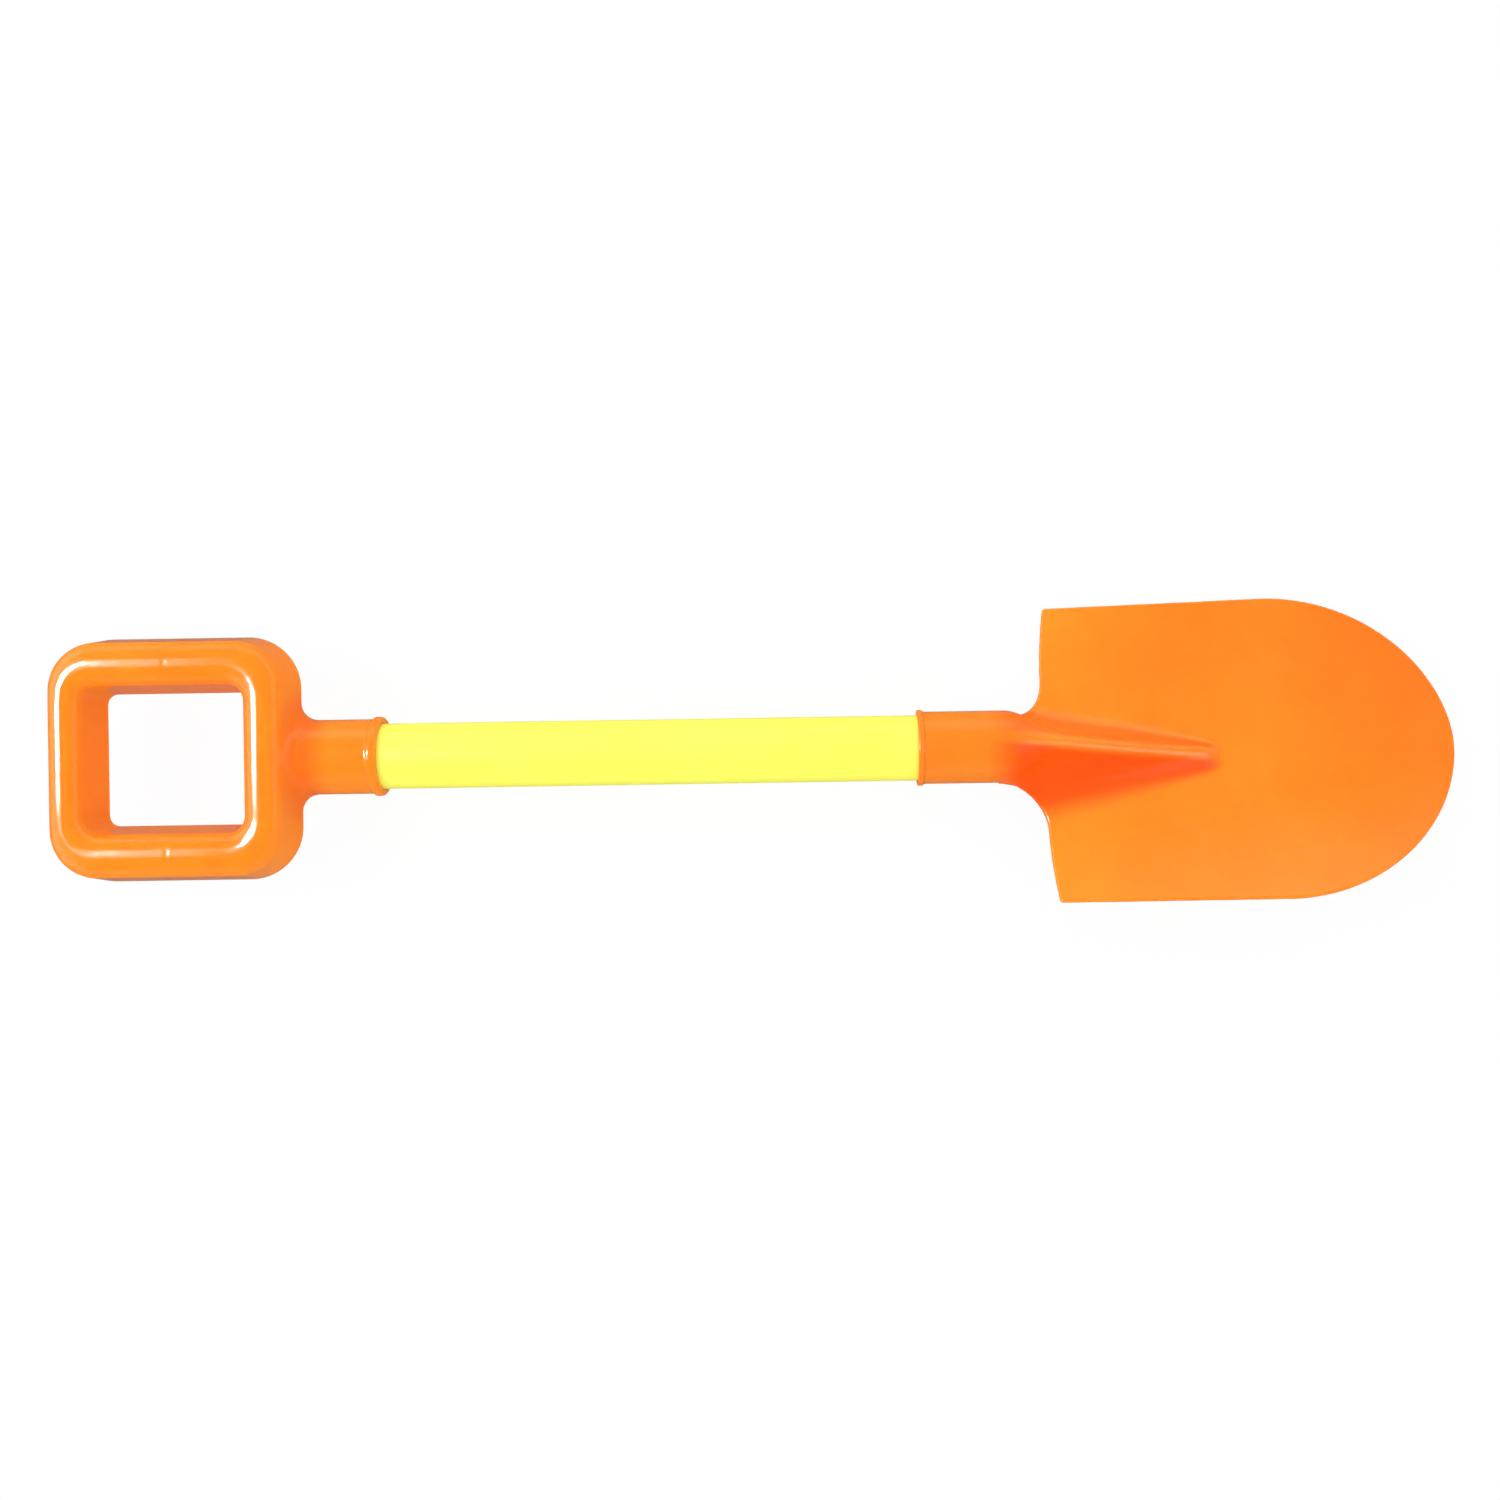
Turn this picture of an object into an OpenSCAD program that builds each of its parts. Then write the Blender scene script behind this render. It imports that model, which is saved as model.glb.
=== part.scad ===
// Sand shovel for a child: a D-shaped grip, a straight tube and a dished round-nosed blade.
// X runs along the tube from the grip to the blade, Y across it, Z up out of the blade's front.
// The tube's axis lies in the plane of the grip's open back, and the origin is on it there, in
// the middle of the grip bar.

/* [Tube] */
// Outer diameter of the tube
tube_d = 20; // [17:0.5:24]
// Wall of the tube
tube_wall = 1.3; // [0.8:0.1:2.5]
// Length of tube that shows between the two sockets
tube_show = 162.8; // [60:1:400]
// How much smaller in radius the socket bores are than the tube
press = 0.05; // [0.02:0.01:0.1]

/* [Grip] */
// Depth of the loop from its open back to its crest
loop_h = 18.2; // [16:0.1:24]
// Length of the finger opening along the tube, at its narrow back
opening_len = 44.2; // [36:0.1:70]
// Width of the finger opening across the tube, at its narrow back
opening_w = 40.2; // [36:0.1:60]
// Width of the grip bar at its open back
grip_bar_w = 13.8; // [13.5:0.1:20]
// Width of the bar that carries the socket, at its open back
neck_bar_w = 14.9; // [13.5:0.1:20]
// Width of the two side bars at their open back
side_bar_w = 16.9; // [13.5:0.1:22]
// Inward lean of each bar wall from the back to the shoulder
wall_lean = 1.9; // [0.5:0.1:1.9]
// Radius of the rounded shoulders along the front of the bars
shoulder_r = 4.9; // [2.8:0.1:4.9]
// Corner radius of the finger opening at its back
opening_r = 3.2; // [2:0.1:8]
// Outer corner radius of the loop at its back
loop_r = 16; // [10:0.5:20]
// Wall of the grip moulding
grip_wall = 2; // [1.4:0.1:2.4]
// Distance from the grip bar's middle to the cross ribs in the side bars
side_rib_x = 31; // [24:0.5:36]

/* [Grip socket] */
// Outer diameter of the grip socket
grip_socket_d = 22.8; // [22:0.1:27]
// Length of the grip socket from the neck bar to its mouth
grip_socket_len = 25; // [16:0.1:60]
// Depth of the tube in the grip socket
grip_seat = 24; // [10:0.5:60]
// Radius of the fillet where the grip socket meets the loop
grip_fillet_r = 5.2; // [1:0.1:7]
// Outer diameter of the bead round the grip socket's mouth
grip_bead_d = 24.2; // [23:0.1:30]
// Width of the bead round the grip socket's mouth
grip_bead_w = 2.8; // [1.4:0.1:5]

/* [Blade socket] */
// Outer diameter of the blade socket
blade_socket_d = 22.1; // [21.9:0.1:27]
// Length of the blade socket from its mouth to the ridge
blade_socket_len = 26.7; // [16:0.1:60]
// Depth of the tube in the blade socket
blade_seat = 23.5; // [10:0.5:60]
// Outer diameter of the bead round the blade socket's mouth
blade_bead_d = 23.2; // [22.5:0.1:30]
// Width of the bead round the blade socket's mouth
blade_bead_w = 1.8; // [1:0.1:5]

/* [Blade] */
// Length of the blade from its tread corners to its tip
blade_len = 121.9; // [90:1:180]
// Width of the blade across its tread corners
tread_w = 95.8; // [70:1:140]
// Greatest width of the blade, where its nose starts to round
blade_w = 97.4; // [72:1:142]
// Length of the rounded nose
nose_len = 53.6; // [30:0.5:80]
// Share by which the nose is more pointed than half an ellipse
nose_point_share = 0.025; // [0:0.005:0.1]
// Thickness of the blade sheet
sheet_t = 2.2; // [1.4:0.1:4]
// How far the middle of the tread edge stands nearer the grip than its corners
tread_bow = 1.6; // [0:0.1:6]
// Radius of the fillet where the tread edge sweeps into the socket
tread_fillet_r = 13.5; // [8:0.5:20]
// Drop of the rim below the tube's axis at the tread corners
rim_drop = 4.2; // [0:0.1:8]
// Rise of the rim from the tread corners to the tip
rim_rise = 6.4; // [0:0.1:14]
// Depth of the dish below the rim at the tread edge
dish_tread = 5.3; // [2:0.1:8]
// Depth that the dish gains between the tread edge and the tip
dish_gain = 6.2; // [0:0.1:12]
// Length of the ridge from the end of the socket to where it sinks into the dish
ridge_len = 67.5; // [50:0.5:90]
// Length in which the socket's round narrows to the ridge's crest
ridge_round_len = 18; // [14:0.5:40]
// Radius of the ridge's crest
ridge_crest_r = 3; // [2.4:0.1:6]
// Radius of the hollow at the ridge's foot
ridge_foot_r = 16; // [15:0.5:24]
// Share by which the radius at the ridge's foot shrinks along its length
ridge_foot_share = 0.75; // [0:0.05:0.8]
// Height of the ridge above the dish where its blunt end starts to round off
ridge_end_h = 2.2; // [1:0.1:4]
// Length in which the ridge's blunt end rounds off
ridge_end_len = 5; // [3:0.5:10]
// Angle that the blade is turned on the tube, against the grip
blade_turn = 19; // [-45:1:45]

/* [Hidden] */
// Margin by which cuts run past the faces that they open
over = 1;
// Smoothness of round parts
round_fn = 96;

tube_r = tube_d / 2;
bore_r = tube_r - press;

// Outer size of the loop at its back, and the finger opening's place in it
loop_len = grip_bar_w + opening_len + neck_bar_w;
loop_w = opening_w + 2 * side_bar_w;
loop_x0 = -grip_bar_w / 2;
opening_x0 = grip_bar_w / 2;
crease_h = loop_h - shoulder_r;
rib_share = 0.75;
rib_t = grip_wall * rib_share;

// Places along the tube
neck_wall_x = loop_x0 + loop_len;
neck_shoulder_x = neck_wall_x - wall_lean - shoulder_r;
grip_mouth_x = neck_wall_x + grip_socket_len;
tube_x0 = grip_mouth_x - grip_seat;
blade_mouth_x = grip_mouth_x + tube_show;
tube_x1 = blade_mouth_x + blade_seat;
ridge_x = blade_mouth_x + blade_socket_len;
tread_x = ridge_x + tread_fillet_r;
corner_x = tread_x + tread_bow;
tip_x = corner_x + blade_len;
nose_x = tip_x - nose_len;

// Ridge and sheet
socket_r = blade_socket_d / 2;
// The ridge starts just inside the socket's surface, and the socket's end runs on into it
ridge_sink = 0.1;
socket_bite = 0.5;
ridge_r = socket_r - ridge_sink;
fillet_y = ridge_r + tread_fillet_r;
dish_floor = rim_drop + dish_tread;
ridge_h = ridge_r + dish_floor;
ridge_ease_share = 0.08;
// Power that hollows the fall of the ridge's crest towards its end
ridge_fall_power = 1.35;
// The rows of the blade mesh start on the tread edge and are straight from here on
straight_x = corner_x + tread_bow + 2 * sheet_t;

// Numbers of steps in the blade mesh: across the socket, its fillet and the tread edge,
// then along the tread zone, the straight sides and the nose
socket_count = 10;
fillet_count = 7;
tread_count = 7;
tread_row_count = 8;
side_row_count = 18;
nose_row_count = 13;
// Power that crowds the steps across the socket towards the crest
crest_power = 1.4;
// Numbers of steps in the grip socket's fillet: round the socket and across the fillet
round_count = 60;
bend_count = 6;
round_angle = 360 / round_count;
// Steepest place on the shoulder that the fillet climbs to
fillet_top_angle = 75;
// Depth to which the fillet's rims are sunk in the faces that it joins
fillet_sink = 0.03;

// Lays a shape drawn about the Z axis along the tube's axis, starting at x
module on_axis(x) {
    translate([x, 0, 0])
        rotate([0, 90, 0])
            children();
}

// Profile of the loop's outside, from a corner's axis out to radius r at the back
module outside_profile(r, inset) {
    round_r = shoulder_r - inset;
    top = loop_h - inset;
    reach = r - inset;
    intersection() {
        union() {
            polygon([
                [0, 0],
                [reach, 0],
                [reach - wall_lean, crease_h],
                [0, crease_h],
            ]);
            translate([reach - wall_lean - round_r, crease_h])
                circle(r = round_r, $fn = round_fn);
            square([reach - wall_lean - round_r, top]);
        }
        square([reach, top]);
    }
}

// Profile of the finger opening, from a corner's axis out to radius r at the back
module opening_profile(r, inset) {
    round_r = shoulder_r - inset;
    top = loop_h - inset;
    reach = r + inset;
    difference() {
        polygon([
            [0, -over],
            [reach, -over],
            [reach, 0],
            [reach + wall_lean, crease_h],
            [reach + wall_lean + round_r, crease_h],
            [reach + wall_lean + round_r, top + over],
            [0, top + over],
        ]);
        translate([reach + wall_lean + round_r, crease_h])
            circle(r = round_r, $fn = round_fn);
    }
}

// Sweeps a profile round a rectangle of len by wid whose corners have their axes r inside it
module sweep_frame(len, wid, r, z0, z1) {
    run_x = len - 2 * r;
    run_y = wid - 2 * r;
    for (side = [0, 1], end = [0, 1])
        mirror([0, side, 0])
            translate([r + end * run_x, run_y / 2, 0])
                rotate([0, 0, 90 * (1 - end)])
                    rotate_extrude(angle = 90, $fn = round_fn)
                        children();
    for (side = [0, 1])
        mirror([0, side, 0])
            translate([r, run_y / 2, 0])
                rotate([90, 0, 90])
                    linear_extrude(run_x)
                        children();
    translate([r + run_x, run_y / 2, 0])
        rotate([90, 0, 0])
            linear_extrude(run_y)
                children();
    translate([r, -run_y / 2, 0])
        rotate([90, 0, 180])
            linear_extrude(run_y)
                children();
    translate([r, -run_y / 2, z0])
        cube([run_x, run_y, z1 - z0]);
}

// Loop without its opening, shrunk by inset on every face but the open back
module loop_block(inset) {
    translate([loop_x0, 0, 0])
        sweep_frame(loop_len, loop_w, loop_r, 0, loop_h - inset)
            outside_profile(loop_r, inset);
}

// Finger opening, grown by inset into the bars
module opening_block(inset) {
    translate([opening_x0, 0, 0])
        sweep_frame(opening_len, opening_w, opening_r, -over, loop_h - inset + over)
            opening_profile(opening_r, inset);
}

// Thin plates across the bars: one in the grip bar and one in each side bar
module rib_plates() {
    translate([loop_x0, -rib_t / 2, 0])
        cube([grip_bar_w, rib_t, loop_h]);
    for (side = [-1, 1])
        translate([side_rib_x - rib_t / 2, side * (opening_w + side_bar_w) / 2 - side_bar_w / 2, 0])
            cube([rib_t, side_bar_w, loop_h]);
}

// Space inside the bars, open at the back and crossed by the ribs
module bar_channel() {
    difference() {
        loop_block(grip_wall);
        opening_block(grip_wall);
        rib_plates();
    }
}

// Rounded bead about the Z axis, from its mouth at zero up to width w
module bead(d, w, inner_d) {
    round_r = (d - inner_d) / 2;
    rotate_extrude($fn = round_fn)
        union() {
            square([d / 2 - round_r, w]);
            translate([0, round_r])
                square([d / 2, w - 2 * round_r]);
            for (z = [round_r, w - round_r])
                translate([d / 2 - round_r, z])
                    circle(r = round_r, $fn = round_fn);
        }
}

// Fillet between the neck bar and the grip socket: the trace of a ball that rolls round the
// socket and touches the bar's leaning wall, or its shoulder higher up
function fillet_section(turn) =
    let (
        reach = grip_socket_d / 2 + grip_fillet_r,
        roll_r = shoulder_r + grip_fillet_r,
        lean_a = atan(wall_lean / crease_h),
        z = reach * cos(turn),
        up = z - crease_h,
        roll_a = max(lean_a, min(fillet_top_angle, asin(max(0, min(1, up / roll_r))))),
        x = up > 0 ? neck_shoulder_x + roll_r * cos(roll_a)
            : neck_wall_x - wall_lean * z / crease_h + grip_fillet_r / cos(lean_a),
        ball = [x, reach * sin(turn), z],
        to_bar = [cos(roll_a), 0, sin(roll_a)],
        to_socket = [0, sin(turn), cos(turn)],
        between_a = acos(to_bar * to_socket),
        sunk_r = grip_fillet_r + fillet_sink
    )
    concat(
        [for (i = [0 : bend_count])
            let (a = between_a * i / bend_count)
            ball - sunk_r / sin(between_a) * (to_socket * sin(between_a - a) + to_bar * sin(a))],
        [ball - (grip_fillet_r + grip_wall / 4) / (1 + cos(between_a)) * (to_bar + to_socket)]
    );

ring_count = bend_count + 2;
fillet_points = [for (i = [0 : round_count - 1]) each fillet_section(i * round_angle)];
fillet_faces = [for (i = [0 : round_count - 1], k = [0 : ring_count - 1], half = [0, 1])
    let (
        a = i * ring_count,
        b = (i + 1) % round_count * ring_count,
        n = (k + 1) % ring_count
    )
    half == 0 ? [a + k, b + n, b + k] : [a + k, a + n, b + n]];

module grip_fillet() {
    reach = grip_socket_d + grip_fillet_r;
    intersection() {
        polyhedron(points = fillet_points, faces = fillet_faces, convexity = 4);
        translate([neck_shoulder_x, -reach, 0])
            cube([2 * reach, 2 * reach, 2 * reach]);
    }
}

// One moulding: loop with an open back, socket with an end wall, fillet and mouth bead
module grip() {
    socket_x = neck_wall_x - wall_lean - grip_wall / 2;
    color([1, 0.56, 0.17])
        difference() {
            union() {
                difference() {
                    loop_block(0);
                    opening_block(0);
                    bar_channel();
                }
                on_axis(socket_x)
                    cylinder(d = grip_socket_d, h = grip_mouth_x - socket_x, $fn = round_fn);
                grip_fillet();
                on_axis(grip_mouth_x - grip_bead_w)
                    bead(grip_bead_d, grip_bead_w, grip_socket_d);
            }
            on_axis(tube_x0)
                cylinder(r = bore_r, h = grip_seat + over, $fn = round_fn);
        }
}

// Extruded pipe, open at both ends
module shaft_tube() {
    color([1, 1, 0.35])
        on_axis(tube_x0)
            difference() {
                cylinder(r = tube_r, h = tube_x1 - tube_x0, $fn = round_fn);
                translate([0, 0, -over])
                    cylinder(r = tube_r - tube_wall, h = tube_x1 - tube_x0 + 2 * over, $fn = round_fn);
            }
}

// Half width of the blade at x
function half_w(x) =
    x > nose_x ? blade_w / 2 * pow(max(0, 1 - pow((x - nose_x) / nose_len, 2)), 1 / 2 + nose_point_share)
    : tread_w / 2 + (blade_w - tread_w) / 2 * max(0, x - corner_x) / (nose_x - corner_x);

// Height of the rim plane, and depth of the dish below it, at x
function rim_z(x) = -rim_drop + rim_rise * (x - corner_x) / blade_len;
function dish(x) = dish_tread + dish_gain * (x - corner_x) / blade_len;

// Front face of the bare dish at x and y
function dish_z(x, y) =
    let (
        along = max(0, x - nose_x) / nose_len,
        across = y / (x > nose_x ? blade_w / 2 : half_w(x)),
        rim_share = min(1, along * along + across * across)
    )
    rim_z(x) - dish(x) * (1 - rim_share);

// Height of the ridge's crest at x: it eases out of the level socket and falls to a blunt end
function crest_h(x) =
    let (
        s = max(0, x - ridge_x) / ridge_len,
        e = ridge_ease_share,
        left = max(0, 1 - (sqrt(s * s + e * e) - e) / (sqrt(1 + e * e) - e)),
        end = min(1, max(0, x - ridge_x - ridge_len + ridge_end_len) / ridge_end_len)
    )
    (ridge_end_h + (ridge_h - ridge_end_h) * pow(left, ridge_fall_power)) * sqrt(1 - end * end);

// Section of the ridge: a crest arc of radius r1 that runs into a hollow foot arc of radius r2
function ridge_section(y, r1, r2, h) =
    let (
        foot_y = sqrt(max(0, h * (2 * (r1 + r2) - h))),
        turn_y = foot_y * r1 / (r1 + r2),
        a = abs(y)
    )
    a <= turn_y ? h - r1 + sqrt(r1 * r1 - a * a)
    : a < foot_y ? r2 - sqrt(r2 * r2 - pow(foot_y - a, 2))
    : 0;

// Height of the ridge above the dish at x and y, with its radii moved inwards by skin. They
// pass smoothly from those of the socket and its fillet to those of the crest and the foot.
function ridge_z(x, y, skin) =
    let (
        along = min(1, max(0, x - ridge_x) / ridge_len),
        s = min(1, max(0, x - ridge_x) / ridge_round_len),
        t = s * s * (3 - 2 * s),
        r1 = ridge_r + (ridge_crest_r - ridge_r) * t - skin,
        foot_r = tread_fillet_r + (ridge_foot_r - tread_fillet_r) * t,
        r2 = foot_r * (1 - ridge_foot_share * along * along) + skin
    )
    ridge_section(y, max(ridge_sink, r1), r2, crest_h(x));

function front_z(x, y) = dish_z(x, y) + ridge_z(x, y, 0);
function back_z(x, y) = dish_z(x, y) - sheet_t + ridge_z(x, y, sheet_t);

// Places across the tread edge: each is the distance from the axis and the edge's x there
edge_half = concat(
    [for (i = [0 : socket_count - 1])
        [ridge_r * sin(90 * pow(i / socket_count, crest_power)), ridge_x]],
    [for (i = [0 : fillet_count - 1])
        let (a = 90 * i / fillet_count)
        [fillet_y - tread_fillet_r * cos(a), ridge_x + tread_fillet_r * sin(a)]],
    [for (i = [0 : tread_count])
        let (s = i / tread_count)
        [fillet_y + (tread_w / 2 - fillet_y) * s, tread_x + tread_bow * s * s]]
);
half_count = len(edge_half) - 1;
edge = concat(
    [for (i = [half_count : -1 : 1]) [-edge_half[i][0], edge_half[i][1]]],
    edge_half
);
col_count = len(edge);

// A row starts on the tread edge and blends into a straight line across the blade
function row_point(row, col) =
    let (
        y0 = edge[col][0],
        x0 = edge[col][1],
        s = min(1, row / tread_row_count),
        side_s = min(1, max(0, row - tread_row_count) / side_row_count),
        nose_a = 90 * max(0, row - tread_row_count - side_row_count) / nose_row_count,
        x = row <= tread_row_count ? x0 + (straight_x - x0) * s * s
            : row <= tread_row_count + side_row_count ? straight_x + (nose_x - straight_x) * side_s
            : nose_x + nose_len * sin(nose_a),
        y = y0 * half_w(x) / (tread_w / 2)
    )
    [x, y];

row_count = tread_row_count + side_row_count + nose_row_count;
blade_front = [for (row = [0 : row_count - 1], col = [0 : col_count - 1])
    let (p = row_point(row, col)) [p[0], p[1], front_z(p[0], p[1])]];
blade_back = [for (row = [0 : row_count - 1], col = [0 : col_count - 1])
    let (p = row_point(row, col)) [p[0], p[1], back_z(p[0], p[1])]];
blade_tip = [[tip_x, 0, rim_z(tip_x)], [tip_x, 0, rim_z(tip_x) - sheet_t]];
blade_points = concat(blade_front, blade_back, blade_tip);

// Index of a point of the front face; the back face follows it, and the two tip points come last
function at(row, col) = row * col_count + col;
back_at = row_count * col_count;
tip_at = 2 * back_at;
last_row = row_count - 1;

blade_faces = concat(
    [for (row = [0 : row_count - 2], col = [0 : col_count - 2], half = [0, 1])
        half == 0 ? [at(row, col), at(row, col + 1), at(row + 1, col + 1)]
        : [at(row, col), at(row + 1, col + 1), at(row + 1, col)]],
    [for (row = [0 : row_count - 2], col = [0 : col_count - 2], half = [0, 1])
        half == 0 ? [for (p = [at(row, col), at(row + 1, col + 1), at(row, col + 1)]) p + back_at]
        : [for (p = [at(row, col), at(row + 1, col), at(row + 1, col + 1)]) p + back_at]],
    [for (col = [0 : col_count - 2]) [at(last_row, col), at(last_row, col + 1), tip_at]],
    [for (col = [0 : col_count - 2])
        [back_at + at(last_row, col), tip_at + 1, back_at + at(last_row, col + 1)]],
    [for (col = [0 : col_count - 2], half = [0, 1])
        half == 0 ? [at(0, col), back_at + at(0, col), back_at + at(0, col + 1)]
        : [at(0, col), back_at + at(0, col + 1), at(0, col + 1)]],
    [for (row = [0 : row_count - 2], half = [0, 1])
        half == 0 ? [at(row, 0), at(row + 1, 0), back_at + at(row + 1, 0)]
        : [at(row, 0), back_at + at(row + 1, 0), back_at + at(row, 0)]],
    [for (row = [0 : row_count - 2], half = [0, 1])
        let (c = col_count - 1)
        half == 0 ? [at(row, c), back_at + at(row + 1, c), at(row + 1, c)]
        : [at(row, c), back_at + at(row, c), back_at + at(row + 1, c)]],
    [
        [at(last_row, 0), tip_at, tip_at + 1],
        [at(last_row, 0), tip_at + 1, back_at + at(last_row, 0)],
        [at(last_row, col_count - 1), tip_at + 1, tip_at],
        [at(last_row, col_count - 1), back_at + at(last_row, col_count - 1), tip_at + 1],
    ]
);

// Dished sheet with its hollow ridge, about the tube's axis
module blade_sheet() {
    polyhedron(points = blade_points, faces = blade_faces, convexity = 8);
}

// One moulding: socket with a mouth bead, ridge and dished sheet, turned on the tube
module blade() {
    color([1, 0.55, 0.14])
        rotate([-blade_turn, 0, 0])
            difference() {
                union() {
                    blade_sheet();
                    on_axis(blade_mouth_x) {
                        cylinder(r = socket_r, h = blade_socket_len + socket_bite, $fn = round_fn);
                        bead(blade_bead_d, blade_bead_w, blade_socket_d);
                    }
                }
                on_axis(blade_mouth_x - over)
                    cylinder(r = bore_r, h = blade_seat + over, $fn = round_fn);
            }
}

grip();
shaft_tube();
blade();
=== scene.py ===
import math
import bpy
import numpy as np
from mathutils import Matrix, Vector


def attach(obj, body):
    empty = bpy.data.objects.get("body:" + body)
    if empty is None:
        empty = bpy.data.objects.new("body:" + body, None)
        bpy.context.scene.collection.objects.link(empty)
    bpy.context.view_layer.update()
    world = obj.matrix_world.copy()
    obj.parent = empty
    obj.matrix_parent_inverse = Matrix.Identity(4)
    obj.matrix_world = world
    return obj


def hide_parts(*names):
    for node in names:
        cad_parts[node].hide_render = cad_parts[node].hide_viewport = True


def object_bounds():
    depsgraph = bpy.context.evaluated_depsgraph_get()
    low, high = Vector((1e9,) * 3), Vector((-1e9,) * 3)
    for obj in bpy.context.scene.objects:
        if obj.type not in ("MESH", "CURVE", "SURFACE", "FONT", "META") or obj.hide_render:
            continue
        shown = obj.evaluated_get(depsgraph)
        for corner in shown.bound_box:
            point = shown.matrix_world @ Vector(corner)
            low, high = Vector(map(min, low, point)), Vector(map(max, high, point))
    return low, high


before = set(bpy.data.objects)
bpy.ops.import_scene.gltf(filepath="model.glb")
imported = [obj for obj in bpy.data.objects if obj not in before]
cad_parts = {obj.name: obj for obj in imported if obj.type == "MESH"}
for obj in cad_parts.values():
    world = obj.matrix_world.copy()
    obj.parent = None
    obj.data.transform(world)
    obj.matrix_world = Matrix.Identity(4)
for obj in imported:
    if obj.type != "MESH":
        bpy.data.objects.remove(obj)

cad_box = [list(corner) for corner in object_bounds()]

# The sand shovel's visual model. Shapes are worked out in millimetres, as the solids are:
# X runs along the tube from the grip to the blade, Y across the grip, and Z out of the front.
MM = 0.001

# Grip, the same as the solid
BORE_R = 9.95
GRIP_BAR_W = 13.8
OPENING_LEN = 44.2
OPENING_W = 40.2
NECK_BAR_W = 14.9
SIDE_BAR_W = 16.9
LOOP_H = 18.2
WALL_LEAN = 1.9
SHOULDER_R = 4.9
OPENING_R = 3.2
LOOP_R = 16.0
GRIP_WALL = 2.0
RIB_T = 0.75 * GRIP_WALL
SIDE_RIB_X = 31.0
GRIP_SOCKET_R = 11.4
GRIP_SOCKET_LEN = 25.0
GRIP_SEAT = 24.0
GRIP_FILLET_R = 5.2
GRIP_BEAD_R = 12.1
GRIP_BEAD_W = 2.8

# Length of tube that shows between the two sockets
TUBE_SHOW = 162.8

# Blade, the same as the solid
BLADE_SOCKET_R = 11.05
BLADE_SOCKET_LEN = 26.7
BLADE_SEAT = 23.5
SOCKET_END_LEN = 9.0
BLADE_BEAD_R = 11.6
BLADE_BEAD_W = 1.8
BLADE_LEN = 121.9
TREAD_W = 95.8
BLADE_W = 97.4
NOSE_LEN = 53.6
# power of the nose's outline, where 0.5 is an ellipse
NOSE_POINT = 0.525
SHEET_T = 2.2
TREAD_BOW = 1.6
TREAD_FILLET_R = 13.5
# the rim lies this far under the tube's axis at the tread, and rises by this much to the tip
RIM_DROP = 4.2
RIM_RISE = 6.4
# the dish is this deep at the tread, and this much deeper at the tip
DISH_TREAD = 5.3
DISH_GAIN = 6.2
BLADE_TURN = math.radians(19.0)

# Ridge, which runs out of the blade's socket
RIDGE_LEN = 67.5
RIDGE_R = 10.95
RIDGE_CREST_R = 3.0
RIDGE_FOOT_R = 16.0
# over this length the crest narrows from the socket's radius and the feet widen from the tread fillet's
RIDGE_ROUND_LEN = 18.0
# the crest starts to fall gently, and the fall follows this power of what is left
RIDGE_EASE = 0.08
RIDGE_FALL = 1.35
# height over the dish at its blunt end, and the length in which that is rounded off
RIDGE_END_H = 2.2
RIDGE_END_LEN = 5.0
# the back face's crest keeps at least this radius
RIDGE_LEAST_R = 0.1
# share of its radius that a foot loses towards the ridge's end
FOOT_TAPER = 0.75
# the foot on the side of -Y runs out wider here than in the solid, and tapers less
LOW_FOOT_R = 23.0
LOW_FOOT_TAPER = 0.4

# Small roundings and fillets of the mouldings
LIP_R = 0.45
BLADE_LIP_R = 0.35
GRIP_SOCKET_EDGE_R = 0.3
GRIP_BEAD_EDGE_R = 0.8
GRIP_BEAD_FOOT_R = 0.35
BLADE_BEAD_EDGE_R = 0.5
RIB_EDGE_R = 0.3
RIB_FOOT_R = 0.5
SHEET_EDGE_R = 0.8
TREAD_CORNER_R = 0.6

# Half the flat width of the crest on the grip bar, and how much more it is on the neck bar
BAR_FLAT = 0.1
NECK_FLAT = 0.5
NECK_BLEND_LEN = 20.0
# the side bars' wider crest starts this far inside the opening's edge, and is full after this
SIDE_BLEND_IN = 6.0
SIDE_BLEND_LEN = 10.0

# Sink marks over the ribs: dents that fade out down the shoulder and across the crest's edge
MARK_DEPTH = 0.045
MARK_W = 0.7
MARK_FADE_H = 2.0
MARK_FADE_W = 1.2

# The sheet starts inside the blade's socket, and a fillet grows between them on the underside
SHEET_OVERLAP = 2.0
JOIN_R = 1.5
JOIN_LEN = 4.0
JOIN_DEPTH = 2.0
LEAST_JOIN_R = 1e-3
# at the front face the socket lies this much under the ridge, so that only the ridge shows
SOCKET_SINK = 0.3
# brings the field of the socket's round end near to a true distance
ROUND_END_SCALE = 0.8
# the dish goes on past its rim up to this share of depth, so that the sheet's edge is clean
DISH_LIMIT = 1.05

# Places worked out from the sizes
LOOP_X0 = -GRIP_BAR_W / 2
OPENING_X0 = GRIP_BAR_W / 2
LOOP_LEN = GRIP_BAR_W + OPENING_LEN + NECK_BAR_W
LOOP_W = OPENING_W + 2 * SIDE_BAR_W
CREASE_H = LOOP_H - SHOULDER_R
LEAN_ANGLE = math.atan(WALL_LEAN / CREASE_H)
SIDE_FLAT = SIDE_BAR_W / 2 - WALL_LEAN - SHOULDER_R
NECK_WALL_X = LOOP_X0 + LOOP_LEN
GRIP_SOCKET_X = NECK_WALL_X - WALL_LEAN - GRIP_WALL / 2
GRIP_MOUTH_X = NECK_WALL_X + GRIP_SOCKET_LEN
BLADE_MOUTH_X = GRIP_MOUTH_X + TUBE_SHOW
RIDGE_X = BLADE_MOUTH_X + BLADE_SOCKET_LEN
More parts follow.
